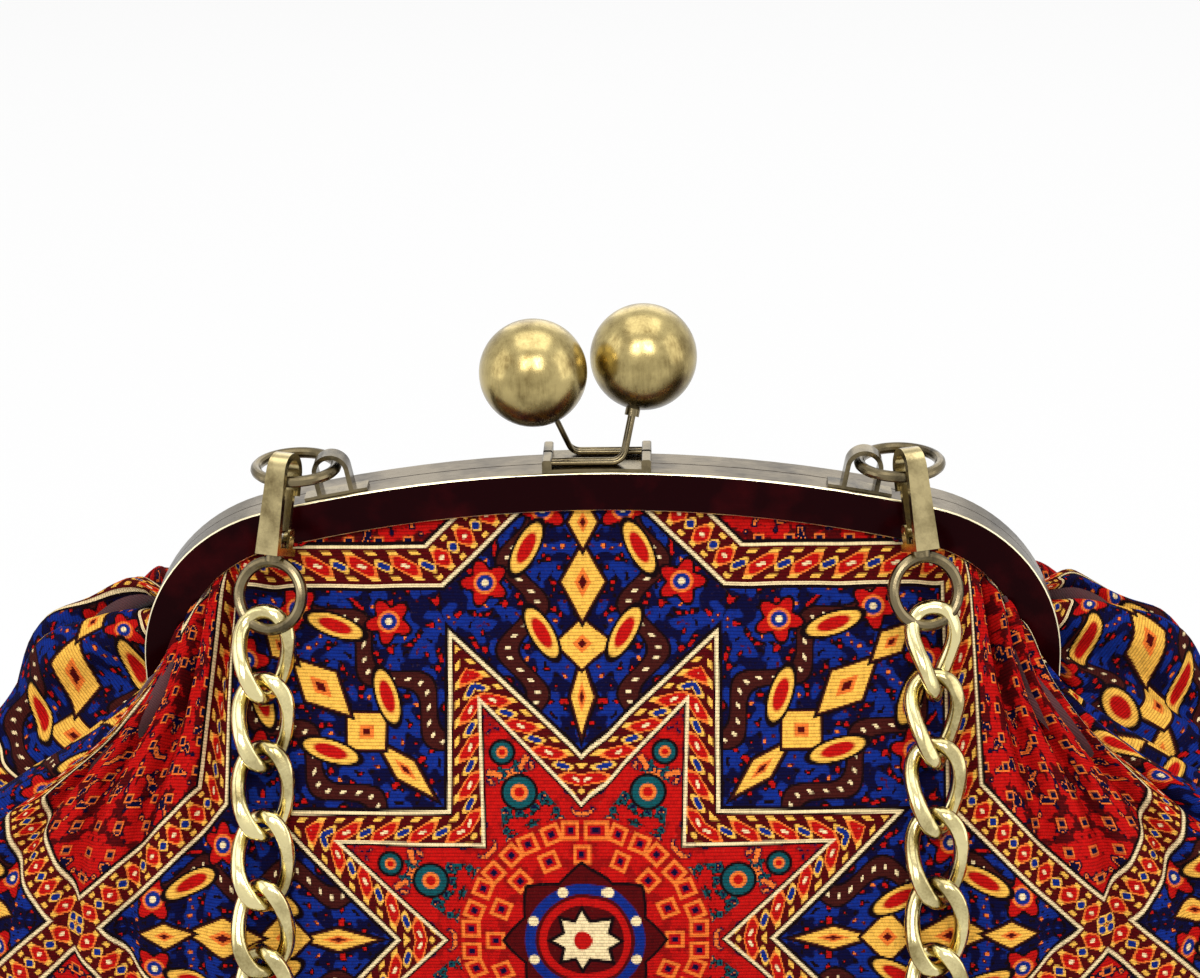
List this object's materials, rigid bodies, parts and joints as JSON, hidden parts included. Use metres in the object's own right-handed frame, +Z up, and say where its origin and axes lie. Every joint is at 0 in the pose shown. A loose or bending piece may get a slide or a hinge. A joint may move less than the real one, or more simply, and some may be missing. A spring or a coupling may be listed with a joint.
{
  "type": "carpet bag with kiss-lock frame",
  "caption": "Soft carpet bag on an arched kiss-lock metal frame with ball clasp, rings, snap hooks and a curb chain strap.",
  "frame": {"origin": "middle of the flat base, where the bag stands", "axes": "+Z up, -Y out of the front panel, +X to the right seen from the front"},
  "size_m": [0.3592, 0.2387, 0.3069],
  "materials": {
    "frame": "antique plated steel, dark lacquered faces with worn bright edges",
    "ball_brass": "brushed antique brass",
    "fitting_brass": "brushed antique brass",
    "steel": "plain drawn wire",
    "chain_metal": "pale gold anodised, polished flats",
    "carpet_cloth": "ribbed woven carpet cloth with a star medallion pattern",
    "lining_cloth": "plain dark twill",
    "board": "grey pressed board"
  },
  "bodies": {
    "bag": {"back_panel": "carpet_cloth", "base_board": "board", "bottom_panel": "carpet_cloth", "floor_chain": "chain_metal", "front_clasp_ball": "ball_brass", "front_clasp_stem": "fitting_brass", "front_frame": "frame", "front_panel": "carpet_cloth", "front_saddle": "fitting_brass", "left_chain_drop": "chain_metal", "left_hinge_pin": "steel", "left_lug": "fitting_brass", "left_swivel_eye": "fitting_brass", "lining": "lining_cloth", "right_chain_drop": "chain_metal", "right_hinge_pin": "steel", "right_lug": "fitting_brass", "right_swivel_eye": "fitting_brass"},
    "back_half": {"back_frame": "frame", "back_saddle": "fitting_brass", "back_clasp_stem": "fitting_brass", "back_clasp_ball": "ball_brass"},
    "left_ring": {"left_ring": "fitting_brass"},
    "left_hook": {"left_hook": "fitting_brass", "left_gate_pin": "steel", "left_gate_spring": "steel"},
    "left_gate": {"left_gate": "fitting_brass"},
    "right_ring": {"right_ring": "fitting_brass"},
    "right_hook": {"right_hook": "fitting_brass", "right_gate_pin": "steel", "right_gate_spring": "steel"},
    "right_gate": {"right_gate": "fitting_brass"}
  },
  "joints": [
    {"name": "frame_opening", "type": "hinge", "parent": "bag", "child": "back_half", "pos_m": [0, 0, 0.212], "axis": [-1, 0, 0], "range_deg": [0, 70], "deforming": ["back_panel"]},
    {"name": "left_ring_swing", "type": "hinge", "parent": "bag", "child": "left_ring", "pos_m": [-0.0608, -0.00337, 0.2708], "axis": [0, 1, 0], "range_deg": [-1.5, 3.5]},
    {"name": "left_hook_swivel", "type": "hinge", "parent": "bag", "child": "left_hook", "pos_m": [-0.07417, -0.01751, 0.25447], "axis": [-0.1207, -0.3716, -0.9205], "range_deg": [-4, 5]},
    {"name": "left_gate_press", "type": "hinge", "parent": "left_hook", "child": "left_gate", "pos_m": [-0.07294, -0.0137, 0.25749], "axis": [0.9511, -0.309, 0], "range_deg": [0, 20], "stiffness_Nm_per_rad": 0.002, "springref_deg": -11.46},
    {"name": "right_ring_swing", "type": "hinge", "parent": "bag", "child": "right_ring", "pos_m": [0.0608, -0.00337, 0.2708], "axis": [0, -1, 0], "range_deg": [-1.5, 3.5]},
    {"name": "right_hook_swivel", "type": "hinge", "parent": "bag", "child": "right_hook", "pos_m": [0.07417, -0.01751, 0.25447], "axis": [-0.1207, 0.3716, 0.9205], "range_deg": [-4, 5]},
    {"name": "right_gate_press", "type": "hinge", "parent": "right_hook", "child": "right_gate", "pos_m": [0.07294, -0.0137, 0.25749], "axis": [0.9511, 0.309, 0], "range_deg": [0, 20], "stiffness_Nm_per_rad": 0.002, "springref_deg": -11.46}
  ]
}
